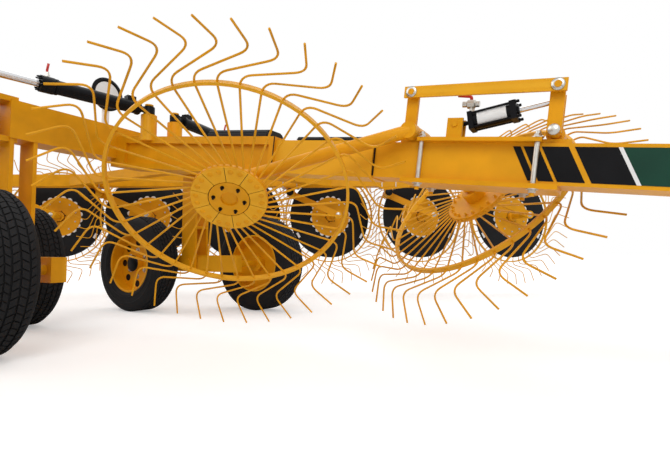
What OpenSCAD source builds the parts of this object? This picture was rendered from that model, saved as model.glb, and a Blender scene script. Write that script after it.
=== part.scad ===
// Carted wheel rake: a sloping tongue on a walking-tandem cart, two swinging
// toolbars that carry the rake wheels in a V, and a clamped-on pair of centre
// kicker wheels. Millimetres; x forward, y left, z up, ground at z = 0.

/* [Cart] */
// Road tyre diameter
tyre_d = 720; // [640:10:800]
// Road tyre width
tyre_w = 200; // [160:5:230]
// Distance between the two axles of a tandem
tandem_base = 760; // [700:10:1100]

/* [Rake wheels] */
// Rake wheel radius to the tine tips
tip_r = 760; // [600:10:800]
// Radius of the flat ring that holds the tines
ring_r = 495; // [420:5:540]
// Tines on each rake wheel
tine_count = 40; // [24:1:48]
// Spacing of the rake wheels along a toolbar
pitch = 1000; // [980:5:1060]

/* [Hidden] */
$fn = 64;

// Shift that puts the middle of the footprint at the origin
shift_x = -1009.9;

// Cart
tandem_y = 620;
axle_z = tyre_d / 2;
tyre_off_front = 310;
tyre_off_rear = 210;
cross = [150, 1380, 200];
cross_z = 1030;
hinge_y = 790;
pin_r = 30;
play = 0.05;

// Tongue: its axis starts above the tandems and slopes down to the front
tongue_z = 1082;
tongue_slope = 7.4;
tongue_w = 150;
frame_end = 1312;
tongue_end = 4800;

// Toolbar frame, right side: origin on the toolbar, x along the row
row_origin = [317, -2103];
row_angle = -30;
bar = 120;
bar_z = 1170;
bar_tail = 80;
bar_nose = 160;
hub_z = 835;
hub_off = 400;
wheel_turn = 17;
pivot_z = 1049;
pivot_back = 400;
pivot_r = 25;
spindle_r = 20;
arm_y = -115;
arm_t = 30;

// Kicker unit on the tongue: stations along the tongue
// station, side, hub along the tongue, hub above it, hub beside it
kick_w = 115;
kick_lever = 150;
KICK = [[2010, -1, 1370, -235, 420], [2540, 1, 2167, -88, 500]];
k_station = 0; k_side = 1; k_u = 2; k_w = 3; k_v = 4;
kick_axis = [0.4656, 0.617, -0.6344];

yellow = [0.90, 0.62, 0.08];
dark = [0.08, 0.08, 0.08];
steel = [0.62, 0.62, 0.62];

// Small helpers
module box(x0, x1, y0, y1, z0, z1) { translate([x0, y0, z0]) cube([x1 - x0, y1 - y0, z1 - z0]); }
module rod_y(x, z, r, y0, y1) { translate([x, y0, z]) rotate([-90, 0, 0]) cylinder(r = r, h = y1 - y0); }
module along(a, b, r) {
  d = b - a; l = norm(d);
  translate(a) rotate([0, acos(d[2] / l), atan2(d[1], d[0])]) cylinder(r = r, h = l);
}
module beam(a, b, w, z0, z1) {
  d = b - a;
  translate([a[0], a[1], z0]) rotate([0, 0, atan2(d[1], d[0])]) translate([0, -w / 2, 0]) cube([norm(d), w, z1 - z0]);
}
module put() { translate([shift_x, 0, 0]) children(); }
module left() { mirror([0, 1, 0]) children(); }
module on_tongue() { translate([0, 0, tongue_z]) rotate([0, tongue_slope, 0]) children(); }
module on_row() { translate([row_origin[0], row_origin[1], 0]) rotate([0, 0, row_angle]) children(); }
function row_x(i) = (i - 4) * pitch;
function row_point(p) = [row_origin[0] + p[0] * cos(row_angle) - p[1] * sin(row_angle),
                         row_origin[1] + p[0] * sin(row_angle) + p[1] * cos(row_angle)];

// Rake wheel: local z is the front normal, hub centre at the origin
function polar(r, a) = [r * cos(a), r * sin(a)];
tine_path = [polar(140, -4), polar(512, 15.5), polar(536, 13.5), polar(604, -2), polar(634, -4)];
// The tip leans forward out of the wheel's plane
tip_lean = 35;
tip_from = polar(634, -4);
tip_dir = polar(tip_r, 1) - tip_from;
function turn(a, b) = let (d = b - a, l = norm(d)) [-d[1] / l, d[0] / l];
function side_of(p, t) = [for (i = [0:len(p) - 1])
  let (n0 = i > 0 ? turn(p[i - 1], p[i]) : turn(p[0], p[1]),
       n1 = i < len(p) - 1 ? turn(p[i], p[i + 1]) : n0,
       m = n0 + n1, k = 2 * t / (m * m)) p[i] + m * k];
tine_wire = 8;
guard_r = 450;
function back(l) = [for (i = [len(l) - 1:-1:0]) l[i]];

module tine() {
  translate([0, 0, -tine_wire / 2]) linear_extrude(tine_wire)
    polygon(concat(side_of(tine_path, tine_wire / 2), back(side_of(tine_path, -tine_wire / 2))));
  translate(tip_from) rotate([0, 0, atan2(tip_dir[1], tip_dir[0])]) rotate([0, -tip_lean, 0])
    translate([-5, -3.9, -3.9]) cube([norm(tip_dir) + 10, 7.8, 7.8]);
}

// Rake wheel with its bearing boss on one face (1 front, -1 back)
module rake_wheel(boss) {
  difference() {
    union() {
      translate([0, 0, -10]) cylinder(r = 160, h = 20);
      translate([0, 0, boss > 0 ? 0 : -60]) cylinder(r = 52, h = 60);
      if (boss > 0) translate([0, 0, 9]) cylinder(r = guard_r, h = 6);
      difference() {
        translate([0, 0, -14]) cylinder(r = ring_r + 6, h = 24);
        translate([0, 0, -15]) cylinder(r = ring_r - 6, h = 26);
      }
      for (i = [0:tine_count - 1]) rotate([0, 0, i * 360 / tine_count]) tine();
    }
    translate([0, 0, boss > 0 ? 0 : -61]) cylinder(r = spindle_r + play, h = 61);
  }
}

// Right row: hub frames, arms and wheels
spindle_run = (hub_off + arm_y) * tan(wheel_turn);
function hub_at(i) = [row_x(i), -hub_off, hub_z];
hub_axis = [sin(wheel_turn), cos(wheel_turn), 0];
module at_hub(i) { on_row() translate(hub_at(i)) rotate([0, 0, -wheel_turn]) rotate([-90, 0, 0]) children(); }
module row_wheel(i) { at_hub(i) rake_wheel(1); }
module row_arm(i) {
  x0 = row_x(i) - pivot_back; x1 = row_x(i) + spindle_run;
  dx = x1 - x0; dz = hub_z - pivot_z;
  on_row() {
    rod_y(x0, pivot_z, pivot_r, arm_y, 70);
    rod_y(x0, pivot_z, 36, 66, 78);
    rod_y(x0, pivot_z, 44, arm_y - arm_t / 2, arm_y + arm_t / 2 + 10);
    translate([x0, arm_y - arm_t / 2, pivot_z]) rotate([0, atan2(-dz, dx), 0]) translate([0, 0, -32]) cube([norm([dx, dz]), arm_t, 64]);
    rod_y(x1, hub_z, 40, arm_y - arm_t / 2 - 6, arm_y + arm_t / 2 + 6);
    along([x1, arm_y, hub_z], hub_at(i) + hub_axis * 6, spindle_r);
    along([x1, arm_y, hub_z], hub_at(i) + hub_axis * 72, 30);
  }
}

// Swinging frame: toolbar, wing, rear beam, hinge boss and pivot bushings
hinge = [0, -hinge_y];
wing_eye = [150, -1390];
cyl_z = 1285;
bar_back = row_x(1) - pivot_back - bar_tail;
bar_front = row_x(6) - pivot_back + bar_nose;
module swing_frame() {
  difference() {
    union() {
      on_row() difference() {
        box(bar_back, bar_front, -bar / 2, bar / 2, bar_z - bar / 2, bar_z + bar / 2);
        box(bar_back - 1, bar_back + 300, -bar / 2 + 8, bar / 2 - 8, bar_z - bar / 2 + 8, bar_z + bar / 2 - 8);
        box(bar_front - 300, bar_front + 1, -bar / 2 + 8, bar / 2 - 8, bar_z - bar / 2 + 8, bar_z + bar / 2 - 8);
      }
      for (i = [1:6]) on_row() {
        rod_y(row_x(i) - pivot_back, pivot_z, 40, -58, 58);
        box(row_x(i) - pivot_back - 40, row_x(i) - pivot_back + 40, -45, 45, pivot_z, bar_z - bar / 2 + 5);
        box(row_x(i) - pivot_back - 90, row_x(i) - pivot_back + 90, -58, 58, bar_z - bar / 2 - 12, bar_z - bar / 2 + 2);
      }
      beam(hinge, row_point([0, 0]), 110, 1105, 1215);
      beam(hinge, row_point([-2650, 0]), 90, 1115, 1205);
      translate([hinge[0], hinge[1], 1046]) cylinder(r = 62, h = 168);
      translate([wing_eye[0], wing_eye[1], 1200]) cylinder(r = 40, h = 42);
      translate([wing_eye[0], wing_eye[1], 1200]) cylinder(r = 14, h = 118);
      translate([wing_eye[0], wing_eye[1], 1312]) cylinder(r = 24, h = 8);
    }
    translate([hinge[0], hinge[1], 1000]) cylinder(r = pin_r + play, h = 300);
    for (i = [1:6]) on_row() rod_y(row_x(i) - pivot_back, pivot_z, pivot_r + play, -80, 80);
  }
}

// Width cylinder, right side: pinned on the frame, opened at the wing eye
cyl_base = [370, -95];
cyl_dir = atan2(wing_eye[1] - cyl_base[1], wing_eye[0] - cyl_base[0]);
cyl_len = norm(wing_eye - cyl_base);
barrel_l = 550;
barrel_neck = 62;
module swing_barrel() {
  translate([cyl_base[0], cyl_base[1], cyl_z]) rotate([0, 0, cyl_dir]) difference() {
    union() {
      translate([0, 0, -20]) cylinder(r = 32, h = 40);
      translate([20, 0, 0]) rotate([0, 90, 0]) cylinder(r = 18, h = barrel_neck);
      translate([barrel_neck, 0, 0]) rotate([0, 90, 0]) cylinder(r = 36, h = barrel_l - barrel_neck);
      translate([barrel_l - 40, 0, 0]) rotate([0, 90, 0]) cylinder(r = 42, h = 60);
      translate([90, -22, 20]) cube([50, 44, 36]);
    }
    translate([0, 0, -40]) cylinder(r = 14 + play, h = 80);
    translate([barrel_neck + 60, 0, 0]) rotate([0, 90, 0]) cylinder(r = 20 + play, h = barrel_l);
  }
}
module swing_rod() {
  translate([cyl_base[0], cyl_base[1], cyl_z]) rotate([0, 0, cyl_dir]) difference() {
    union() {
      translate([320, 0, 0]) rotate([0, 90, 0]) cylinder(r = 20, h = cyl_len - 320 - 24);
      translate([cyl_len, 0, -24]) cylinder(r = 36, h = 48);
    }
    translate([cyl_len, 0, -40]) cylinder(r = 22, h = 80);
  }
}

// Main frame: cross beam, tandem legs, hinge lugs and the rear part of the spine
module frame_side() {
  difference() {
    union() {
      for (z = [1010, 1222]) {
        box(-62, 62, -hinge_y, -cross[1] / 2 + 40, z, z + 28);
        translate([0, -hinge_y, z]) cylinder(r = 62, h = 28);
      }
      translate([0, -hinge_y, 1005]) cylinder(r = pin_r, h = 255);
      for (y = [-tandem_y - 66, -tandem_y + 46]) box(-70, 70, y, y + 20, axle_z - 60, cross_z + 10);
      rod_y(0, axle_z, 35, -tandem_y - 80, -tandem_y + 80);
      rod_y(0, axle_z, 55, -tandem_y - 84, -tandem_y - 60);
      box(-70, 70, -tandem_y - 66, -tandem_y + 66, 620, 640);
      translate([cyl_base[0], cyl_base[1], 1130]) cylinder(r = 14, h = 190);
      translate([cyl_base[0], cyl_base[1], 1312]) cylinder(r = 24, h = 8);
      translate([cyl_base[0], cyl_base[1], 1100]) cylinder(r = 45, h = 155);
    }
  }
}
module main_frame_body() {
  box(-75, 75, -cross[1] / 2, cross[1] / 2, cross_z, cross_z + cross[2]);
  frame_side();
  left() frame_side();
  on_tongue() difference() {
    box(30, frame_end, -100, 100, -95, 95);
    box(160, frame_end - 30, -101, -80, -65, 55);
    box(160, frame_end - 30, 80, 101, -65, 55);
  }
}
module tongue_body() {
  on_tongue() {
    box(frame_end, tongue_end, -tongue_w / 2, tongue_w / 2, -tongue_w / 2, tongue_w / 2);
    box(frame_end, frame_end + 530, -tongue_w / 2 - 5, tongue_w / 2 + 5, -tongue_w / 2 - 5, tongue_w / 2 + 5);
  }
  hitch_x = tongue_end * cos(tongue_slope); hitch_zc = tongue_z - tongue_end * sin(tongue_slope);
  difference() {
    union() for (z = [-52, 30]) {
      box(hitch_x - 120, hitch_x + 130, -60, 60, hitch_zc + z, hitch_zc + z + 22);
      translate([hitch_x + 130, 0, hitch_zc + z]) cylinder(r = 60, h = 22);
    }
    translate([hitch_x + 130, 0, hitch_zc - 100]) cylinder(r = 16, h = 200);
  }
}
jack_u = 4250;
module jack_body() {
  x = jack_u * cos(tongue_slope); zc = tongue_z - jack_u * sin(tongue_slope);
  translate([x, -tongue_w / 2 - 62, 0]) {
    translate([0, 0, 250]) cylinder(r = 38, h = zc + 60);
    translate([0, 0, 6]) cylinder(r = 30, h = 300);
    cylinder(r = 95, h = 12);
    translate([0, 0, 250 + zc + 60]) cylinder(r = 30, h = 40);
  }
  translate([x, -tongue_w / 2, zc]) box(-45, 45, -40, 0, -60, 60);
}

// Kicker unit
// Clamp studs: along the tongue, across it
studs = [[2060, -92], [2490, -92], [2060, 92], [2435, 92]];
module kicker_mount_body() {
  on_tongue() {
    difference() {
      union() {
        box(1960, 2600, -70, 70, tongue_w / 2, tongue_w / 2 + 15);
        box(2045, 2505, -110, 0, tongue_w / 2, tongue_w / 2 + 15);
        box(2045, 2455, 0, 110, tongue_w / 2, tongue_w / 2 + 15);
        box(1990, 2570, -110, 110, -tongue_w / 2 - 18, -tongue_w / 2);
        for (p = studs) translate([p[0], p[1], -tongue_w / 2 - 45]) cylinder(r = 9, h = tongue_w + 85);
        rod_y(2010, kick_w, 32, -70, 70);
        rod_y(2540, kick_w, 32, -34, 70);
        box(1985, 2035, -70, 70, tongue_w / 2, kick_w);
        box(2515, 2565, -34, 70, tongue_w / 2, kick_w);
        for (v = [-104, -60]) box(2160, 2220, v, v + 12, tongue_w / 2, kick_w + 50);
        rod_y(2190, 140, 10, -110, -42);
      }
      rod_y(2010, kick_w, spindle_r + play, -120, 120);
      rod_y(2540, kick_w, spindle_r + play, -120, 120);
    }
  }
}
function kick_hub(k) = [k[k_u], k[k_side] * k[k_v], k[k_w]];
function kick_n(k) = [kick_axis[0], k[k_side] * kick_axis[1], kick_axis[2]];
module kick_arm(k) {
  u = k[k_station]; s = k[k_side]; hub = kick_hub(k); n = kick_n(k); b = hub - n * 130;
  on_tongue() {
    rod_y(u, kick_w, spindle_r, -112, s * 104 > 0 ? 128 : 84);
    along([u, s * 104, kick_w], b, 28);
    rod_y(u, kick_w, 34, s > 0 ? 78 : -130, s > 0 ? 130 : -78);
    along(b - n * 20, hub - n * 72, 32);
    along(b, hub - n * 6, spindle_r);
    box(u - 24, u + 24, -110, -94, kick_w - 10, kick_w + kick_lever + 20);
    rod_y(u, kick_w + kick_lever, 12, -142, -94);
    if (s > 0) {
      box(u - 24, u + 24, -58, -44, kick_w - 10, kick_w + 135);
      rod_y(u, kick_w + 110, 10, -100, -50);
    }
  }
}
module kick_wheel(k) {
  n = kick_n(k);
  on_tongue() translate(kick_hub(k)) rotate([0, acos(n[2]), atan2(n[1], n[0])]) rake_wheel(-1);
}
module kick_link() {
  on_tongue() difference() {
    box(2010 - 30, 2540 + 30, -136, -124, kick_w + kick_lever - 22, kick_w + kick_lever + 22);
    for (u = [2010, 2540]) rod_y(u, kick_w + kick_lever, 12 + play, -150, -110);
  }
}
kick_from = [2190, 140]; kick_to = [2540, kick_w + 110];
kick_tilt = atan2(kick_to[1] - kick_from[1], kick_to[0] - kick_from[0]);
kick_len = norm(kick_to - kick_from);
module at_kick_cyl() { on_tongue() translate([kick_from[0], -76, kick_from[1]]) rotate([0, -kick_tilt, 0]) children(); }
kick_barrel_r = 32;
kick_barrel_at = 50;
kick_rod_at = 150;
module kick_barrel() {
  at_kick_cyl() difference() {
    union() {
      rod_y(0, 0, 20, -10, 10);
      translate([8, 0, 0]) rotate([0, 90, 0]) cylinder(r = 8, h = 60);
      translate([kick_barrel_at, 0, 0]) rotate([0, 90, 0]) cylinder(r = kick_barrel_r, h = 225 - kick_barrel_at);
    }
    rod_y(0, 0, 10 + play, -20, 20);
    translate([80, 0, 0]) rotate([0, 90, 0]) cylinder(r = 10 + play, h = 300);
  }
}
module kick_rod() {
  at_kick_cyl() difference() {
    union() {
      translate([kick_rod_at, 0, 0]) rotate([0, 90, 0]) cylinder(r = 10, h = kick_len - kick_rod_at - 14);
      rod_y(kick_len, 0, 22, -12, 12);
    }
    rod_y(kick_len, 0, 16, -20, 20);
  }
}

// Tandem beam with its two stub axles, right side
module tandem_body() {
  difference() {
    union() {
      box(-tandem_base / 2 - 60, tandem_base / 2 + 60, -tandem_y - 36, -tandem_y + 36, axle_z - 60, axle_z + 60);
      rod_y(tandem_base / 2, axle_z, 25, -tandem_y - tyre_off_front - 40, -tandem_y);
      rod_y(-tandem_base / 2, axle_z, 25, -tandem_y, -tandem_y + tyre_off_rear + 40);
    }
    rod_y(0, axle_z, 35 + play, -tandem_y - 50, -tandem_y + 50);
  }
}
// Road wheels: side 1 has its dish to the left
rim_r = 215;
module at_axle(front) {
  translate([(front ? 1 : -1) * tandem_base / 2, -tandem_y + (front ? -tyre_off_front : tyre_off_rear), axle_z])
    rotate([front ? 90 : -90, 0, 0]) children();
}
module rim_body() {
  difference() {
    union() {
      rotate_extrude() polygon([[rim_r - 12, -80], [rim_r, -80], [rim_r, 80], [rim_r - 12, 80]]);
      translate([0, 0, -10]) cylinder(r = rim_r - 5, h = 14);
      translate([0, 0, -60]) cylinder(r = 62, h = 108);
    }
    translate([0, 0, -61]) cylinder(r = 25 + play, h = 101 + 6);
  }
}
module tyre_body() {
  r = tyre_d / 2; w = tyre_w / 2;
  rotate_extrude() polygon([[rim_r, -80], [rim_r + 22, -w + 4], [r - 60, -w], [r - 14, -w + 16], [r, -w + 34],
    [r, w - 34], [r - 14, w - 16], [r - 60, w], [rim_r + 22, w - 4], [rim_r, 80]]);
}
module sign_body() {
  translate([-20, -120, cross_z + cross[2]]) {
    box(-8, 8, -20, 20, 0, 150);
    translate([8, 0, 215]) rotate([0, 90, 0]) cylinder(r = 105, h = 5);
    translate([-2, 0, 100]) box(0, 10, -15, 15, 0, 120);
  }
}

// Nodes
module main_frame() { color(yellow) put() main_frame_body(); }
module tongue() { color(yellow) put() tongue_body(); }
module jack() { color(dark) put() jack_body(); }
module kicker_mount() { color(yellow) put() kicker_mount_body(); }
module sign() { color([0.95, 0.95, 0.95]) put() sign_body(); }
module right_swing_frame() { color(yellow) put() swing_frame(); }
module left_swing_frame() { color(yellow) put() left() swing_frame(); }
module right_tandem() { color(yellow) put() tandem_body(); }
module left_tandem() { color(yellow) put() left() tandem_body(); }
module right_front_rim() { color(yellow) put() at_axle(true) rim_body(); }
module right_rear_rim() { color(yellow) put() at_axle(false) rim_body(); }
module left_front_rim() { color(yellow) put() left() at_axle(true) rim_body(); }
module left_rear_rim() { color(yellow) put() left() at_axle(false) rim_body(); }
module right_front_tyre() { color(dark) put() at_axle(true) tyre_body(); }
module right_rear_tyre() { color(dark) put() at_axle(false) tyre_body(); }
module left_front_tyre() { color(dark) put() left() at_axle(true) tyre_body(); }
module left_rear_tyre() { color(dark) put() left() at_axle(false) tyre_body(); }
module right_swing_barrel() { color(dark) put() swing_barrel(); }
module right_swing_rod() { color(steel) put() swing_rod(); }
module left_swing_barrel() { color(dark) put() left() swing_barrel(); }
module left_swing_rod() { color(steel) put() left() swing_rod(); }
module kicker_barrel() { color(dark) put() kick_barrel(); }
module kicker_rod() { color(steel) put() kick_rod(); }
module kicker_link() { color(yellow) put() kick_link(); }
module kicker_arm_right() { color(yellow) put() kick_arm(KICK[0]); }
module kicker_arm_left() { color(yellow) put() kick_arm(KICK[1]); }
module kicker_wheel_right() { color(yellow) put() kick_wheel(KICK[0]); }
module kicker_wheel_left() { color(yellow) put() kick_wheel_left(); }
module kick_wheel_left() {
  k = KICK[1]; n = kick_n(k);
  on_tongue() left() translate([k[k_u], -k[k_v], k[k_w]]) rotate([0, acos(n[2]), atan2(-n[1], n[0])]) rake_wheel(-1);
}
module right_arm_1() { color(yellow) put() row_arm(1); }
module right_wheel_1() { color(yellow) put() row_wheel(1); }
module left_arm_1() { color(yellow) put() left() row_arm(1); }
module left_wheel_1() { color(yellow) put() left() row_wheel(1); }
module right_arm_2() { color(yellow) put() row_arm(2); }
module right_wheel_2() { color(yellow) put() row_wheel(2); }
module left_arm_2() { color(yellow) put() left() row_arm(2); }
module left_wheel_2() { color(yellow) put() left() row_wheel(2); }
module right_arm_3() { color(yellow) put() row_arm(3); }
module right_wheel_3() { color(yellow) put() row_wheel(3); }
module left_arm_3() { color(yellow) put() left() row_arm(3); }
module left_wheel_3() { color(yellow) put() left() row_wheel(3); }
module right_arm_4() { color(yellow) put() row_arm(4); }
module right_wheel_4() { color(yellow) put() row_wheel(4); }
module left_arm_4() { color(yellow) put() left() row_arm(4); }
module left_wheel_4() { color(yellow) put() left() row_wheel(4); }
module right_arm_5() { color(yellow) put() row_arm(5); }
module right_wheel_5() { color(yellow) put() row_wheel(5); }
module left_arm_5() { color(yellow) put() left() row_arm(5); }
module left_wheel_5() { color(yellow) put() left() row_wheel(5); }
module right_arm_6() { color(yellow) put() row_arm(6); }
module right_wheel_6() { color(yellow) put() row_wheel(6); }
module left_arm_6() { color(yellow) put() left() row_arm(6); }
module left_wheel_6() { color(yellow) put() left() row_wheel(6); }

main_frame();
tongue();
jack();
kicker_mount();
sign();
right_swing_frame();
left_swing_frame();
right_tandem();
left_tandem();
right_front_rim();
right_rear_rim();
left_front_rim();
left_rear_rim();
right_front_tyre();
right_rear_tyre();
left_front_tyre();
left_rear_tyre();
right_swing_barrel();
right_swing_rod();
left_swing_barrel();
left_swing_rod();
kicker_barrel();
kicker_rod();
kicker_link();
kicker_arm_right();
kicker_arm_left();
kicker_wheel_right();
kicker_wheel_left();
right_arm_1();
right_wheel_1();
left_arm_1();
left_wheel_1();
right_arm_2();
right_wheel_2();
left_arm_2();
left_wheel_2();
right_arm_3();
right_wheel_3();
left_arm_3();
left_wheel_3();
right_arm_4();
right_wheel_4();
left_arm_4();
left_wheel_4();
right_arm_5();
right_wheel_5();
left_arm_5();
left_wheel_5();
right_arm_6();
right_wheel_6();
left_arm_6();
left_wheel_6();
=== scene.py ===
"""Carted wheel rake: materials, small parts, floor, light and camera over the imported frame.

Places on the machine go through point(), on_tongue() and row() in millimetres, as in the part's
source. Mesh sizes, such as radii, wire thickness and plate depth, are in metres.
"""
import math

import bmesh
import bpy
from mathutils import Matrix, Vector


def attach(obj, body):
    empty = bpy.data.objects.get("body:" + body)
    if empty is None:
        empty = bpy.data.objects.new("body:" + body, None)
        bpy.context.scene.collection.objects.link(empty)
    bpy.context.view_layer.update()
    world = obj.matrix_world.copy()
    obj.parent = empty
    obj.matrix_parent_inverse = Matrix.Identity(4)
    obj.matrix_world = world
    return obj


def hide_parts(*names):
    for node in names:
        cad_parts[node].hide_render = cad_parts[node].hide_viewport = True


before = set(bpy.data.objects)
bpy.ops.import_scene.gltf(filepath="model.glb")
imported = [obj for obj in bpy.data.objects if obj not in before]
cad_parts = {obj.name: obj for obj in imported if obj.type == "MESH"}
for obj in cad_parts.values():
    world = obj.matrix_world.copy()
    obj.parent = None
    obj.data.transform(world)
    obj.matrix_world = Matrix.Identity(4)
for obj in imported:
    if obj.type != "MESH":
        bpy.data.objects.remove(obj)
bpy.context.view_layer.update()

# Driving places of the machine
SHIFT_X = -1009.9
TONGUE_SLOPE = math.radians(7.4)
TONGUE_Z = 1082
ROW_ANGLE = math.radians(-30)
ROW_X, ROW_Y = 317, -2103
PITCH = 1000
ROW_WHEELS = range(1, 7)
PIVOT_BACK, PIVOT_Z = 400, 1049
HUB_OUT, HUB_Z = 400, 835
WHEEL_TURN = math.radians(17)
AXLE_Z = 360
ROAD_WHEELS = (("front", 380, 930), ("rear", -380, 410))
KICK_STATIONS = (("kicker_arm_right", 2010), ("kicker_arm_left", 2540))
KICK_PIVOT_W, KICK_LINK_W = 115, 265

UP = Vector((0, 0, 1))
SAME = Matrix.Identity(4)
FLIP = Matrix.Scale(-1, 4, (0, 1, 0))
SIDES = (("right", SAME), ("left", FLIP))
SHARP = math.radians(35)


def point(x, y, z):
    """Machine coordinates to the frame in metres."""
    return Vector(((x + SHIFT_X) / 1000, y / 1000, z / 1000))


def on_tongue(u, v, w):
    """Along the tongue, to its left and square to its top face."""
    c, s = math.cos(TONGUE_SLOPE), math.sin(TONGUE_SLOPE)
    return point(u * c + w * s, v, TONGUE_Z - u * s + w * c)


def row(x, y, z):
    """Along the right toolbar, across it towards the tongue, and up."""
    c, s = math.cos(ROW_ANGLE), math.sin(ROW_ANGLE)
    return point(ROW_X + x * c - y * s, ROW_Y + x * s + y * c, z)


def station(i):
    """Place of a rake wheel along its toolbar."""
    return (i - 4) * PITCH


# Materials
def noise(tree, coords, scale, detail):
    n = tree.nodes.new("ShaderNodeTexNoise")
    n.inputs["Scale"].default_value = scale
    n.inputs["Detail"].default_value = detail
    tree.links.new(coords.outputs["Object"], n.inputs["Vector"])
    return n


def ramp(tree, source, low, high):
    """Colour ramp between two positions, fed by a node's output."""
    r = tree.nodes.new("ShaderNodeValToRGB")
    r.color_ramp.elements[0].position = low
    r.color_ramp.elements[1].position = high
    tree.links.new(source, r.inputs["Fac"])
    return r


def material(name, colour, rough=0.4, metal=0.0, vary=0.12, scale=9.0, bump=0.06, fine=90.0,
             wear=None, gloss=0.5):
    """Colour and roughness mottled by coarse noise, bump from fine noise, paler worn edges."""
    m = bpy.data.materials.new(name)
    m.use_nodes = True
    tree = m.node_tree
    link = tree.links.new
    shader = tree.nodes["Principled BSDF"]
    shader.inputs["Metallic"].default_value = metal
    shader.inputs["Specular IOR Level"].default_value = gloss
    coords = tree.nodes.new("ShaderNodeTexCoord")
    coarse = noise(tree, coords, scale, 6)
    grain = noise(tree, coords, fine, 3)
    tone = ramp(tree, coarse.outputs["Fac"], 0.3, 0.7)
    tone.color_ramp.elements[0].color = [c * (1 - vary) for c in colour] + [1]
    tone.color_ramp.elements[1].color = [min(1, c * (1 + vary * 0.6)) for c in colour] + [1]
    out = tone.outputs["Color"]
    if wear:
        geometry = tree.nodes.new("ShaderNodeNewGeometry")
        edges = ramp(tree, geometry.outputs["Pointiness"], 0.56, 0.66)
        mix = tree.nodes.new("ShaderNodeMix")
        mix.data_type = "RGBA"
        link(edges.outputs["Color"], mix.inputs["Factor"])
        link(out, mix.inputs["A"])
        mix.inputs["B"].default_value = (*wear, 1)
        out = mix.outputs["Result"]
    link(out, shader.inputs["Base Color"])
    spread = tree.nodes.new("ShaderNodeMapRange")
    spread.inputs["To Min"].default_value = rough * 0.8
    spread.inputs["To Max"].default_value = min(1, rough * 1.25)
    link(coarse.outputs["Fac"], spread.inputs["Value"])
    link(spread.outputs["Result"], shader.inputs["Roughness"])
    relief = tree.nodes.new("ShaderNodeBump")
    relief.inputs["Strength"].default_value = bump
    relief.inputs["Distance"].default_value = 0.002
    link(grain.outputs["Fac"], relief.inputs["Height"])
    link(relief.outputs["Normal"], shader.inputs["Normal"])
    return m


YELLOW = material("yellow_paint", (0.76, 0.33, 0.003), 0.42, wear=(0.82, 0.42, 0.02), gloss=0.2)
TINE = material("tine_paint", (0.74, 0.34, 0.006), 0.45, vary=0.16, gloss=0.2)
BLACK = material("black_paint", (0.005, 0.005, 0.006), 0.38, vary=0.3, gloss=0.12)
GUARD = material("guard_plastic", (0.009, 0.009, 0.010), 0.55, vary=0.3, bump=0.12, gloss=0.15)
RUBBER = material("tyre_rubber", (0.012, 0.012, 0.013), 0.75, vary=0.3, bump=0.35, fine=140, gloss=0.2)
CHROME = material("chrome", (0.75, 0.75, 0.76), 0.12, 1.0, vary=0.05, bump=0.02)
ZINC = material("zinc", (0.62, 0.60, 0.55), 0.32, 1.0, vary=0.15, scale=40)
WHITE = material("white_sheet", (0.80, 0.80, 0.79), 0.4, vary=0.05)
GREEN = material("green_panel", (0.004, 0.045, 0.026), 0.4, vary=0.15, gloss=0.2)
RED = material("red_plastic", (0.55, 0.02, 0.012), 0.35)
SLATE = material("slate_pad", (0.022, 0.025, 0.028), 0.7, vary=0.3, bump=0.3, fine=260, gloss=0.2)


def node_material(name):
    if name.endswith("_tyre"):
        return RUBBER
    if name.endswith("_rod"):
        return CHROME
    if name.endswith("_barrel") or name == "jack":
        return BLACK
    return WHITE if name == "sign" else YELLOW


for name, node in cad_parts.items():
    node.data.materials.clear()
    node.data.materials.append(node_material(name))


# Mesh helpers
def obj_from(name, bm, mat, body, smooth=True):
    """Object from a mesh under construction, riding on a body."""
    me = bpy.data.meshes.new(name)
    bm.normal_update()
    bm.to_mesh(me)
    bm.free()
    for p in me.polygons:
        p.use_smooth = smooth
    o = bpy.data.objects.new(name, me)
    bpy.context.collection.objects.link(o)
    for m in mat if isinstance(mat, list) else [mat]:
        me.materials.append(m)
    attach(o, body)
    return o


def face_outward(bm):
    bmesh.ops.recalc_face_normals(bm, faces=bm.faces)


def split_edges(o):
    o.modifiers.new("edge", "EDGE_SPLIT").split_angle = SHARP


def sweep(bm, pts, r, n=8, mat=0):
    """Round wire along points, with flat ends."""
    pts = [Vector(p) for p in pts]
    angles = [2 * math.pi * k / n for k in range(n)]
    rings = []
    ref = None
    for i, p in enumerate(pts):
        d = (pts[min(i + 1, len(pts) - 1)] - pts[max(i - 1, 0)]).normalized()
        if ref is None:
            ref = d.orthogonal().normalized()
        ref = (ref - d * ref.dot(d)).normalized()
        side = d.cross(ref)
        rings.append([bm.verts.new(p + (ref * math.cos(a) + side * math.sin(a)) * r) for a in angles])
    faces = []
    for a, b in zip(rings, rings[1:]):
        faces += [bm.faces.new((a[k], a[(k + 1) % n], b[(k + 1) % n], b[k])) for k in range(n)]
    faces += [bm.faces.new(rings[0][::-1]), bm.faces.new(rings[-1])]
    for f in faces:
        f.material_index = mat


def rounded(pts, r, steps=5):
    """Polyline with its corners rounded."""
    pts = [Vector(p) for p in pts]
    out = [pts[0]]
    for a, b, c in zip(pts, pts[1:], pts[2:]):
        d0, d1 = (a - b), (c - b)
        k = min(r, d0.length * 0.45, d1.length * 0.45)
        p0, p1 = b + d0.normalized() * k, b + d1.normalized() * k
        for i in range(steps + 1):
            t = i / steps
            out.append(p0 * (1 - t) ** 2 + b * 2 * t * (1 - t) + p1 * t ** 2)
    return out + [pts[-1]]


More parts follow.
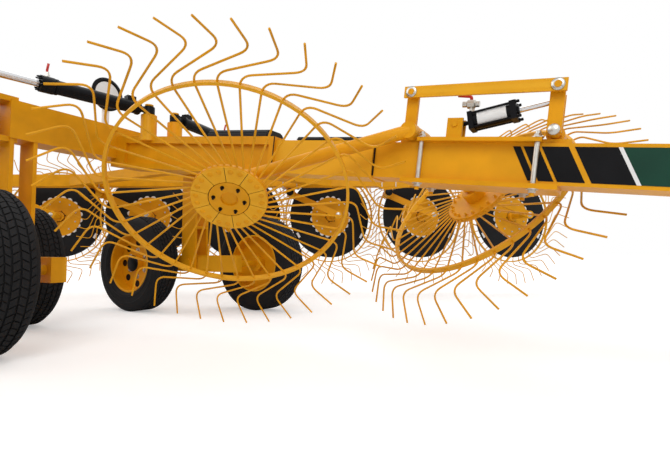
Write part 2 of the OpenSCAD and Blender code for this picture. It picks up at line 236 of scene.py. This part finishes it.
def lathe(bm, profile, m, n=32, mat=0):
    """Revolution of (radius, height) points about the z of a placement."""
    turns = [2 * math.pi * k / n for k in range(n)]
    rings = []
    for r, z in profile:
        spots = [(r * math.cos(a), r * math.sin(a), z) for a in turns] if r > 1e-6 else [(0, 0, z)]
        rings.append([bm.verts.new(m @ Vector(p)) for p in spots])
    for a, b in zip(rings, rings[1:]):
        for k in range(n):
            q = [a[k % len(a)], a[(k + 1) % len(a)], b[(k + 1) % len(b)], b[k % len(b)]]
            q = list(dict.fromkeys(q))
            if len(q) > 2:
                bm.faces.new(q).material_index = mat


def slab(bm, corners, depth, mat=0):
    """Plate from its outline, thickened along depth."""
    low = [bm.verts.new(c) for c in corners]
    top = [bm.verts.new(Vector(c) + Vector(depth)) for c in corners]
    n = len(low)
    faces = [bm.faces.new(low[::-1]), bm.faces.new(top)]
    faces += [bm.faces.new((low[i], low[(i + 1) % n], top[(i + 1) % n], top[i])) for i in range(n)]
    for f in faces:
        f.material_index = mat


def bolt(bm, m, r=0.012, mat=0):
    """Washer and hexagon head."""
    lathe(bm, [(0, 0.0), (r * 1.5, 0.0), (r * 1.5, 0.003), (r, 0.003)], m, 16, mat)
    lathe(bm, [(r, 0.003), (r, 0.013), (r * 0.85, 0.015), (0, 0.015)], m, 6, mat)


def place(origin, z, x=None):
    """Placement at origin with its z, and as near as it can its x, along the given directions."""
    z = Vector(z).normalized()
    x = Vector(x) if x else z.orthogonal()
    x = (x - z * x.dot(z)).normalized()
    return Matrix.Translation(origin) @ Matrix((x, z.cross(x), z)).transposed().to_4x4()


def polar(r, degrees, z=0.0):
    a = math.radians(degrees)
    return Vector((r * math.cos(a), r * math.sin(a), z))


def turned(m, count):
    """A placement turned to even steps about its z."""
    return [m @ Matrix.Rotation(2 * math.pi * i / count, 4, "Z") for i in range(count)]


def mirrored(profile, sign):
    return [(r, sign * z) for r, z in profile]


# Rake wheels: round tines, ring, clamp plates and hub; the row wheels also have a guard
TINES, TINE_WIRE = 40, 0.0043
TIP_R, TIP_LEAN = 0.76, math.radians(35)
RING = [(0.489, -0.014), (0.501, -0.014), (0.501, 0.010), (0.489, 0.010), (0.489, -0.014)]
HUB_DISC = [(0, -0.010), (0.157, -0.010), (0.160, -0.007), (0.160, 0.007), (0.157, 0.010),
            (0.084, 0.010), (0.084, 0.0145), (0.040, 0.0145), (0.036, 0.012), (0.034, 0.002), (0, 0.002)]
HUB_SLEEVE = [(0.05, 0.004), (0.052, 0.056), (0.048, 0.060), (0.022, 0.060), (0.0202, 0.058), (0.0202, 0.006)]
# Black ring under the clamp plates: painted shade, showing as dark lines in the gaps between the plates where
# the disc beneath lies in shadow
HUB_GAP_SHADE = [(0.084, 0.0098), (0.086, 0.0106), (0.152, 0.0106), (0.155, 0.0090)]
CLAMP_PLATES, CLAMP_IN, CLAMP_OUT, CLAMP_Z, CLAMP_DEPTH = 10, 0.088, 0.158, 0.0102, 0.0042
RIVET = [(0.0115, 0.0143), (0.0095, 0.0166), (0.005, 0.0176), (0, 0.0178)]
RIVET_RING = 0.136
HUB_BOLTS, HUB_BOLT_RING = 6, 0.064
GUARD_DISC = [(0.05, 0.0092), (0.30, 0.0090), (0.44, 0.0088), (0.45, 0.0100), (0.45, 0.0135),
              (0.446, 0.0150), (0.30, 0.0148), (0.05, 0.0148)]
GUARD_PLATE = [(0.214, 0.0149), (0.214, 0.0200), (0.205, 0.0215), (0.060, 0.0215), (0.056, 0.0180)]
GUARD_SPOTS, SPOT_RING = 20, 0.206
SPOT = [(0.026, 0.0149), (0.024, 0.0170), (0, 0.0175)]
GUARD_BOLTS, GUARD_BOLT_RING = 10, 0.165
GUARD_MARKS, MARK_IN, MARK_OUT, MARK_HALF, MARK_DEPTH = 3, 0.405, 0.430, 4, 0.0015
GUARD_FACE = 0.0150


def tine_line():
    """Middle of one tine: out from the hub, back at the elbow, and a tip leant off the wheel."""
    elbow = polar(0.634, -4)
    reach = polar(TIP_R, 1) - elbow
    tip = elbow + reach * math.cos(TIP_LEAN) + UP * (reach.length * math.sin(TIP_LEAN))
    return rounded([polar(0.14, -4), polar(0.530, 16.0), polar(0.632, -5.0), tip], 0.045, 6)


TINE_LINE = tine_line()


def clamp_plates(bm, m, plate):
    """Ring of plates over the tine roots, with two rivets each and bolts behind."""
    for q in turned(m, CLAMP_PLATES):
        outline = [q @ polar(CLAMP_OUT, a, CLAMP_Z) for a in (0.5, 9, 18, 27, 35.5)]
        outline += [q @ polar(CLAMP_IN, a, CLAMP_Z) for a in (35.1, 18, 0.9)]
        slab(bm, outline, q.to_3x3() @ (UP * CLAMP_DEPTH), plate)
        for a in (10, 26):
            lathe(bm, RIVET, q @ Matrix.Translation(polar(RIVET_RING, a)), 14, plate)
            bolt(bm, q @ place(polar(RIVET_RING, a, -0.0098), -UP), 0.006, plate)


def wind_guard(bm, m, plate, zinc, guard, white):
    """Black disc with a yellow plate, pale spots at its edge, bolts and three white marks."""
    lathe(bm, GUARD_DISC, m, 72, guard)
    lathe(bm, GUARD_PLATE, m, 60, plate)
    for q in turned(m, GUARD_SPOTS):
        lathe(bm, SPOT, q @ Matrix.Translation(polar(SPOT_RING, 9)), 14, white)
    for i in range(GUARD_BOLTS):
        at = polar(GUARD_BOLT_RING, 360 / GUARD_BOLTS * i, 0.0215)
        bolt(bm, m @ Matrix.Translation(at), 0.006, zinc)
    mark = ((MARK_IN, -MARK_HALF), (MARK_IN, MARK_HALF), (MARK_OUT, MARK_HALF), (MARK_OUT, -MARK_HALF))
    for q in turned(m, GUARD_MARKS):
        slab(bm, [q @ polar(r, a, GUARD_FACE) for r, a in mark], q.to_3x3() @ (UP * MARK_DEPTH), white)


def dress_wheel(node, m, guarded):
    """Detailed rake wheel in the place of its CAD node."""
    plate, tine, black, zinc, guard, white = range(6)
    bm = bmesh.new()
    for q in turned(m, TINES):
        sweep(bm, [q @ p for p in TINE_LINE], TINE_WIRE, 6, tine)
    lathe(bm, RING, m, 96, plate)
    lathe(bm, HUB_DISC, m, 64, plate)
    lathe(bm, mirrored(HUB_SLEEVE, 1 if guarded else -1), m, 40, plate)
    # black ring of painted shade for the gaps between the clamp plates
    lathe(bm, HUB_GAP_SHADE, m, 64, black)
    clamp_plates(bm, m, plate)
    for i in range(HUB_BOLTS):
        at = polar(HUB_BOLT_RING, 360 / HUB_BOLTS * i + 18, 0.0142)
        bolt(bm, m @ Matrix.Translation(at), 0.0055, black)
    if guarded:
        wind_guard(bm, m, plate, zinc, guard, white)
    face_outward(bm)
    o = obj_from("dress_" + node, bm, [YELLOW, TINE, BLACK, ZINC, GUARD, WHITE], node)
    split_edges(o)
    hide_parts(node)


for i in ROW_WHEELS:
    hub = row(station(i), -HUB_OUT, HUB_Z)
    ahead = row(station(i) + 1000 * math.sin(WHEEL_TURN), 1000 * math.cos(WHEEL_TURN) - HUB_OUT, HUB_Z)
    m = place(hub, ahead - hub, UP)
    for side, mirror in SIDES:
        dress_wheel(f"{side}_wheel_{i}", mirror @ m, True)

# Hubs of the kicker wheels on the tongue, both written for the right side, and their common axis
KICK_HUBS = {"right": (1370, -420, -235), "left": (2167, -500, -88)}
KICK_AXIS = (465.6, -617, -634.4)
for side, mirror in SIDES:
    hub = on_tongue(*KICK_HUBS[side])
    axis = on_tongue(*KICK_AXIS) - on_tongue(0, 0, 0)
    dress_wheel(f"kicker_wheel_{side}", mirror @ place(hub, axis, UP), False)

# Road tyres: carcass with blocks in five ribs; rims with a cap, lug bolts and black discs of painted shade
# where the holes are
TREAD_R, GROOVE_R = 0.360, 0.352
RIBS = ((-0.066, -0.047), (-0.039, -0.014), (-0.006, 0.018), (0.026, 0.045), (0.051, 0.066))
BLOCKS, BLOCK_FILL, RIB_STAGGER, BLOCK_SKEW = 64, 0.84, 0.3, 2.2
CARCASS = [(0.2152, -0.078), (0.237, -0.096), (0.300, -0.0998), (0.326, -0.096), (0.343, -0.086),
           (GROOVE_R, -0.070)]
CARCASS += [(r, -z) for r, z in reversed(CARCASS)]
SIDEWALL_RINGS = ([(0.245, 0.0975), (0.250, 0.1005), (0.255, 0.0985)],
                  [(0.290, 0.0995), (0.294, 0.1020), (0.298, 0.0998)])
RIM_EDGE = [(0.203, 0.078), (0.206, 0.084), (0.216, 0.084), (0.219, 0.078)]
HUB_CAP = [(0.062, 0.046), (0.060, 0.052), (0.035, 0.062), (0, 0.064)]
LUG_BOLTS, LUG_RING = 6, 0.100
RIM_HOLES, RIM_HOLE_RING = 8, 0.155
# Black disc painted as the shade inside a rim hole
HOLE_SHADE_DISC = [(0, 0.0), (0.020, 0.0), (0.024, 0.002), (0.026, 0.0)]


def tread_blocks(bm, m):
    root = GROOVE_R - 0.001
    step = 360 / BLOCKS
    for j, (z0, z1) in enumerate(RIBS):
        skew = BLOCK_SKEW if j % 2 else -BLOCK_SKEW
        for k in range(BLOCKS):
            a0 = step * (k + RIB_STAGGER * j)
            a1 = step * (k + RIB_STAGGER * j + BLOCK_FILL)
            outline = ((a0, z0), (a1, z0), (a1 + skew, z1), (a0 + skew, z1))
            outward = m.to_3x3() @ polar(TREAD_R - GROOVE_R, (a0 + a1 + skew) / 2)
            slab(bm, [m @ polar(root, a, z) for a, z in outline], outward)


def dress_tyre(name, m):
    bm = bmesh.new()
    lathe(bm, CARCASS + CARCASS[:1], m, 96)
    tread_blocks(bm, m)
    for sign in (1, -1):
        for ring in SIDEWALL_RINGS:
            lathe(bm, mirrored(ring, sign), m, 72)
    face_outward(bm)
    tyre = obj_from(f"tread_{name}", bm, RUBBER, f"{name}_road_wheel")
    split_edges(tyre)
    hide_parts(f"{name}_tyre")


def dress_rim(name, m):
    rim, black, zinc = range(3)
    bm = bmesh.new()
    lathe(bm, RIM_EDGE, m, 72, rim)
    lathe(bm, HUB_CAP, m, 40, black)
    for k in range(LUG_BOLTS):
        bolt(bm, m @ Matrix.Translation(polar(LUG_RING, 360 / LUG_BOLTS * k, 0.004)), 0.013, zinc)
    # black discs paint the shade seen in the rim's holes
    for q in turned(m, RIM_HOLES):
        lathe(bm, HOLE_SHADE_DISC, q @ Matrix.Translation((RIM_HOLE_RING, 0, 0.0045)), 20, black)
    face_outward(bm)
    obj_from(f"rim_trim_{name}", bm, [YELLOW, BLACK, ZINC], f"{name}_road_wheel")


for side, y_sign in (("right", -1), ("left", 1)):
    for end, x, y in ROAD_WHEELS:
        outward = y_sign if end == "front" else -y_sign
        m = place(point(x, y_sign * y, AXLE_Z), (0, outward, 0), UP)
        dress_tyre(f"{side}_{end}", m)
        dress_rim(f"{side}_{end}", m)

# Tongue: slanted stripes, white line and green panel on both flanks, black lines at the joints
STRIPES = ((2469, 2495), (2505, 2555), (2566, 2652), (2671, 2799))
WHITE_LINE, GREEN_PANEL = (2799, 2812), (2812, 3260)
STRIPE_Y, STRIPE_HALF, STRIPE_SLANT = 75.4, 62, -62
SLEEVE_END, SLEEVE_Y, SLEEVE_HALF = (1846, 1852), 80.2, 70
SLEEVE_TOP, SLEEVE_TOP_W = ((1842, -80), (1849, -80), (1849, 80), (1842, 80)), 80
SPINE_END, SPINE_Y, SPINE_HALF = (1310, 1316), 100.2, 94


def flank(bm, y, span, half, depth, mat, slant=0):
    """Thin panel on a side of the tongue, its top edge moved along by slant."""
    u0, u1 = span
    outline = ((u0, -half), (u1, -half), (u1 + slant, half), (u0 + slant, half))
    slab(bm, [on_tongue(u, y, w) for u, w in outline], (0, depth, 0), mat)


black, white, green = range(3)
panels = [(span, black) for span in STRIPES] + [(WHITE_LINE, white), (GREEN_PANEL, green)]
bm = bmesh.new()
for s in (-1, 1):
    for span, mat in panels:
        flank(bm, s * STRIPE_Y, span, STRIPE_HALF, s * 0.0008, mat, STRIPE_SLANT)
    flank(bm, s * SLEEVE_Y, SLEEVE_END, SLEEVE_HALF, -s * 0.006, black)
slab(bm, [on_tongue(u, v, SLEEVE_TOP_W) for u, v in SLEEVE_TOP], (0, 0, 0.0012), black)
for s in (-1, 1):
    flank(bm, s * SPINE_Y, SPINE_END, SPINE_HALF, s * 0.001, black)
face_outward(bm)
obj_from("tongue_stripes", bm, [BLACK, WHITE, GREEN], "frame", False)

# Pads on the spine: along the tongue from and to, the face they lie on, height
PADS = ((820, 1240, 95, 46), (1420, 1800, 80, 24))
bm = bmesh.new()
for u0, u1, face_w, h in PADS:
    section = [(-70, 0), (-70, h * 0.6), (-50, h), (50, h), (70, h * 0.6), (70, 0)]
    slab(bm, [on_tongue(u0, v, face_w + w) for v, w in section], on_tongue(u1, 0, 0) - on_tongue(u0, 0, 0))
face_outward(bm)
bmesh.ops.bevel(bm, geom=list(bm.edges), offset=0.006, segments=2, affect="EDGES")
obj_from("spine_pads", bm, SLATE, "frame", False)

# Kicker unit: studs with nuts, washers, pin caps and clips
STUDS = ((2060, -92), (2490, -92), (2060, 92), (2435, 92))
STUD = [(0.0092, -0.175), (0.0094, -0.175), (0.0094, 0.034), (0.0075, 0.0355), (0, 0.0355)]
STUD_W, NUT_TOP_W, NUT_LOW_W, NUT_R = 80, 90, -93, 0.014
tongue_up = on_tongue(0, 0, 1000) - on_tongue(0, 0, 0)
bm = bmesh.new()
for u, v in STUDS:
    bolt(bm, place(on_tongue(u, v, NUT_TOP_W), tongue_up), NUT_R)
    bolt(bm, place(on_tongue(u, v, NUT_LOW_W), -tongue_up), NUT_R)
    lathe(bm, STUD, place(on_tongue(u, v, STUD_W), tongue_up), 16)
obj_from("clamp_nuts", bm, ZINC, "frame", False)

WASHER = [(0.0125, 0), (0.022, 0.0), (0.022, 0.003), (0.0125, 0.003)]
PIN_CAP = [(0, 0.004), (0.019, 0.004), (0.0202, 0.0)]
CLIP, CLIP_WIRE = ((-16, -14), (0, 16), (16, -14)), 0.0018
LINK_FACE_V, ARM_FACE_V, CLIP_V = -136.5, -112.2, -140
OUTWARD = (0, -1, 0)
for body, u in KICK_STATIONS:
    bm = bmesh.new()
    lathe(bm, WASHER, place(on_tongue(u, LINK_FACE_V, KICK_LINK_W), OUTWARD), 24)
    lathe(bm, PIN_CAP, place(on_tongue(u, ARM_FACE_V, KICK_PIVOT_W), OUTWARD), 24)
    sweep(bm, rounded([on_tongue(u + du, CLIP_V, KICK_LINK_W + dw) for du, dw in CLIP], 0.012), CLIP_WIRE)
    obj_from("pin_" + body, bm, ZINC, body)

# Kicker cylinder: blank label, end blocks, tie rods and ball valve
KICK_CYL_FROM, KICK_CYL_RUN = (2190, -76, 140), (350, 0, 85)
cyl_from = on_tongue(*KICK_CYL_FROM)
cyl_dir = (on_tongue(*KICK_CYL_RUN) - on_tongue(0, 0, 0)).normalized()
m = place(cyl_from, cyl_dir, OUTWARD)
BARREL_R = 0.032
LABEL_STRIPS, LABEL_STEP, LABEL_START = 10, 12, -75
LABEL_LOW, LABEL_HIGH, LABEL_DEPTH = 0.085, 0.190, 0.0006
bm = bmesh.new()
for k in range(LABEL_STRIPS):
    a0 = LABEL_STEP * k + LABEL_START
    a1 = a0 + LABEL_STEP
    outline = ((a0, LABEL_LOW), (a1, LABEL_LOW), (a1, LABEL_HIGH), (a0, LABEL_HIGH))
    slab(bm, [m @ polar(BARREL_R, a, z) for a, z in outline], m.to_3x3() @ polar(LABEL_DEPTH, (a0 + a1) / 2))
bmesh.ops.remove_doubles(bm, verts=bm.verts, dist=0.0001)
face_outward(bm)
obj_from("blank_label", bm, WHITE, "kicker_barrel", False)

CORNERS = ((-1, -1), (1, -1), (1, 1), (-1, 1))
BLOCK_HALF, TIE_OUT, TIE_R = 0.0345, 0.0275, 0.0045
TIE_START, TIE_END, TIE_NUT = 0.054, 0.222, 0.224
PORT_AT, PORT_UP, VALVE_UP, VALVE_DIR = 0.060, 0.034, 0.036, (-0.98, 0, 0.13)
END_BLOCKS = ((0.051, 0.018), (0.203, 0.021))
GLAND = [(0.020, 0.223), (0.020, 0.232), (0.0112, 0.234)]
FITTING = [(0.012, 0), (0.012, 0.016), (0.009, 0.018), (0.009, 0.030), (0, 0.030)]
VALVE = [(0, -0.030), (0.012, -0.030), (0.012, -0.016), (0.018, -0.012), (0.018, 0.014),
         (0.012, 0.018), (0.012, 0.034), (0, 0.034)]
zinc, black = range(2)
bm = bmesh.new()
for t, depth in END_BLOCKS:
    slab(bm, [m @ Vector((x * BLOCK_HALF, y * BLOCK_HALF, t)) for x, y in CORNERS], cyl_dir * depth, black)
for x, y in CORNERS:
    tie = [m @ Vector((x * TIE_OUT, y * TIE_OUT, t)) for t in (TIE_START, TIE_END, TIE_NUT)]
    sweep(bm, tie[:2], TIE_R, 10, black)
    bolt(bm, place(tie[2], cyl_dir), 0.0055, black)
lathe(bm, GLAND, m, 32, black)
port = cyl_from + cyl_dir * PORT_AT + UP * PORT_UP
lathe(bm, FITTING, place(port, UP), 6, zinc)
lathe(bm, VALVE, place(port + UP * VALVE_UP, VALVE_DIR, UP), 8, zinc)
face_outward(bm)
obj_from("valve_body", bm, [ZINC, BLACK], "kicker_barrel", False)

HANDLE_R = 0.006
bm = bmesh.new()
handle = [port + Vector(step) for step in ((0, 0, 0.050), (0, 0, 0.066), (-0.050, 0, 0.078))]
sweep(bm, rounded(handle, 0.012), HANDLE_R, 10)
obj_from("valve_handle", bm, RED, "kicker_barrel")

# Sign: black rim on a blank white disc
SIGN_FACE = point(-7, -120, 1445)
SIGN_RIM = [(0.080, 0.0003), (0.080, 0.0014), (0.1045, 0.0014), (0.1049, 0.0003)]
bm = bmesh.new()
lathe(bm, SIGN_RIM, place(SIGN_FACE, (1, 0, 0)), 64)
obj_from("sign_rim", bm, BLACK, "frame")

# Width cylinders: rings, gland bolts, ports and a red handle
WIDTH_BASE, WING_EYE, WIDTH_Z = (370, 95), (150, 1390), 1285
BAND_AT = (0.066, 0.490)
BAND = [(0.036, 0), (0.040, 0.002), (0.040, 0.014), (0.036, 0.016)]
GLAND_AT, GLAND_BOLTS, GLAND_RING = 0.569, 12, 0.034
PORTS = ((0.115, 0.056), (0.540, 0.041))
PORT = [(0.014, 0), (0.014, 0.012), (0.010, 0.013), (0.010, 0.024), (0, 0.024)]
HANDLE_UP = 0.062
for side, s in (("right", -1), ("left", 1)):
    base, eye = (point(x, s * y, WIDTH_Z) for x, y in (WIDTH_BASE, WING_EYE))
    d = (eye - base).normalized()
    black, zinc = range(2)
    bm = bmesh.new()
    for t in BAND_AT:
        lathe(bm, [(r, t + z) for r, z in BAND], place(base, d), 40, black)
    for k in range(GLAND_BOLTS):
        at = polar(GLAND_RING, 360 / GLAND_BOLTS * k)
        bolt(bm, place(base + d * GLAND_AT, d, UP) @ Matrix.Translation(at), 0.0045, black)
    for t, top in PORTS:
        lathe(bm, PORT, place(base + d * t + UP * top, UP), 6, zinc)
    face_outward(bm)
    obj_from(f"width_trim_{side}", bm, [BLACK, ZINC], f"{side}_swing_barrel", False)
    bm = bmesh.new()
    foot = base + d * PORTS[1][0] + UP * HANDLE_UP
    handle = [foot + Vector(step) for step in ((0, 0, 0), (0, 0, 0.014), (0.012, 0, 0.046))]
    sweep(bm, rounded(handle, 0.008), HANDLE_R, 10)
    obj_from(f"width_valve_{side}", bm, RED, f"{side}_swing_barrel")

# Rows: black pivot caps and spindle nuts on the arms
PIVOT_CAP = [(0.0362, -0.012), (0.0372, -0.011), (0.0372, 0.001), (0.033, 0.004), (0, 0.005)]
PIVOT_CAP_Y = 78
SPINDLE_NUT_X, SPINDLE_NUT_Y, SPINDLE_NUT_R = 87.1, -94, 0.016
inward = row(0, 1000, 0) - row(0, 0, 0)
for side, mirror in SIDES:
    for i in ROW_WHEELS:
        black, zinc = range(2)
        bm = bmesh.new()
        pivot = row(station(i) - PIVOT_BACK, PIVOT_CAP_Y, PIVOT_Z)
        nut = row(station(i) + SPINDLE_NUT_X, SPINDLE_NUT_Y, HUB_Z)
        lathe(bm, PIVOT_CAP, mirror @ place(pivot, inward), 32, black)
        bolt(bm, mirror @ place(nut, inward), SPINDLE_NUT_R, zinc)
        face_outward(bm)
        obj_from(f"arm_trim_{side}_{i}", bm, [BLACK, ZINC], f"{side}_arm_{i}")

# Rows: a pair of clamps round the toolbar at each pivot, with a strap under each
CLAMP_BOW, CLAMP_WIRE, CLAMP_Y = 70, 0.0055, 66
CLAMP_FOOT_Z, CLAMP_TOP_Z, CLAMP_BAR_Z = 1092, 1236, 1234
STRAP_Z, STRAP_DEPTH = 1098, -0.006
STRAP = ((-14, -72), (14, -72), (14, 72), (-14, 72))
for side, mirror in SIDES:
    bm = bmesh.new()
    for i in ROW_WHEELS:
        bows = [station(i) - PIVOT_BACK + dx for dx in (-CLAMP_BOW, CLAMP_BOW)]
        for x in bows:
            for y in (-CLAMP_Y, CLAMP_Y):
                sweep(bm, [mirror @ row(x, y, z) for z in (CLAMP_FOOT_Z, CLAMP_TOP_Z)], CLAMP_WIRE)
            sweep(bm, [mirror @ row(x, y, CLAMP_BAR_Z) for y in (-CLAMP_Y, CLAMP_Y)], CLAMP_WIRE)
        for x in bows:
            slab(bm, [mirror @ row(x + dx, y, STRAP_Z) for dx, y in STRAP], UP * STRAP_DEPTH)
    face_outward(bm)
    obj_from(f"bar_clamps_{side}", bm, ZINC, f"{side}_swing", False)

# Floor: pale, with a glow for the camera alone that grows away from the middle
FLOOR_HALF = 60
floor = bpy.data.meshes.new("floor")
floor.from_pydata([(x * FLOOR_HALF, y * FLOOR_HALF, 0) for x, y in CORNERS], [], [(0, 1, 2, 3)])
floor_object = bpy.data.objects.new("floor", floor)
bpy.context.collection.objects.link(floor_object)
floor_material = bpy.data.materials.new("floor")
floor_material.use_nodes = True
tree = floor_material.node_tree
link = tree.links.new
shader = tree.nodes["Principled BSDF"]
shader.inputs["Base Color"].default_value = (0.86, 0.86, 0.86, 1)
shader.inputs["Roughness"].default_value = 0.9
shader.inputs["Emission Color"].default_value = (1, 1, 1, 1)
rays = tree.nodes.new("ShaderNodeLightPath")
coords = tree.nodes.new("ShaderNodeTexCoord")
distance = tree.nodes.new("ShaderNodeVectorMath")
distance.operation = "LENGTH"
link(coords.outputs["Object"], distance.inputs[0])
glow = tree.nodes.new("ShaderNodeMapRange")
for key, value in (("From Min", 3.0), ("From Max", 11.0), ("To Min", 0.34), ("To Max", 0.66)):
    glow.inputs[key].default_value = value
link(distance.outputs["Value"], glow.inputs["Value"])
seen = tree.nodes.new("ShaderNodeMath")
seen.operation = "MULTIPLY"
link(rays.outputs["Is Camera Ray"], seen.inputs[0])
link(glow.outputs["Result"], seen.inputs[1])
link(seen.outputs[0], shader.inputs["Emission Strength"])
floor.materials.append(floor_material)

# World: white to the camera and in reflections, half as strong as light
world = bpy.data.worlds.new("studio")
bpy.context.scene.world = world
world.use_nodes = True
tree = world.node_tree
link = tree.links.new
background = tree.nodes["Background"]
background.inputs["Color"].default_value = (1, 1, 1, 1)
rays = tree.nodes.new("ShaderNodeLightPath")
either = tree.nodes.new("ShaderNodeMath")
either.operation = "MAXIMUM"
strength = tree.nodes.new("ShaderNodeMapRange")
strength.inputs["To Min"].default_value = 0.5
strength.inputs["To Max"].default_value = 1.0
link(rays.outputs["Is Camera Ray"], either.inputs[0])
link(rays.outputs["Is Glossy Ray"], either.inputs[1])
link(either.outputs[0], strength.inputs["Value"])
link(strength.outputs["Result"], background.inputs["Strength"])


def lamp(name, at, to, size, power):
    light = bpy.data.lights.new(name, "AREA")
    light.size = size
    light.energy = power
    o = bpy.data.objects.new(name, light)
    bpy.context.collection.objects.link(o)
    o.location = at
    o.rotation_euler = (Vector(to) - Vector(at)).to_track_quat("-Z", "Y").to_euler()


lamp("key", (4.5, -6.0, 6.5), (0, 0, 0.6), 5.0, 350)
lamp("fill", (-6.0, -3.0, 6.0), (0, 0, 0.6), 6.0, 160)
lamp("top", (0.0, 4.0, 8.0), (0, 0, 0.5), 7.0, 200)

# Camera: focal length and horizon in pixels of the photograph
PHOTO_WIDTH_PX, FOCAL_PX, HORIZON_PX = 670, 447, 27
SENSOR = 36
CAMERA_AT = (2640, -1810, 445)
camera_data = bpy.data.cameras.new("camera")
camera_data.sensor_width = SENSOR
camera_data.lens = FOCAL_PX / PHOTO_WIDTH_PX * SENSOR
camera_data.clip_end = 200
camera = bpy.data.objects.new("camera", camera_data)
bpy.context.collection.objects.link(camera)
camera.location = point(*CAMERA_AT)
look = Vector((-0.5, 0.866, HORIZON_PX / FOCAL_PX))
camera.rotation_euler = look.to_track_quat("-Z", "Y").to_euler()
bpy.context.scene.camera = camera
bpy.context.scene.view_settings.view_transform = "Standard"
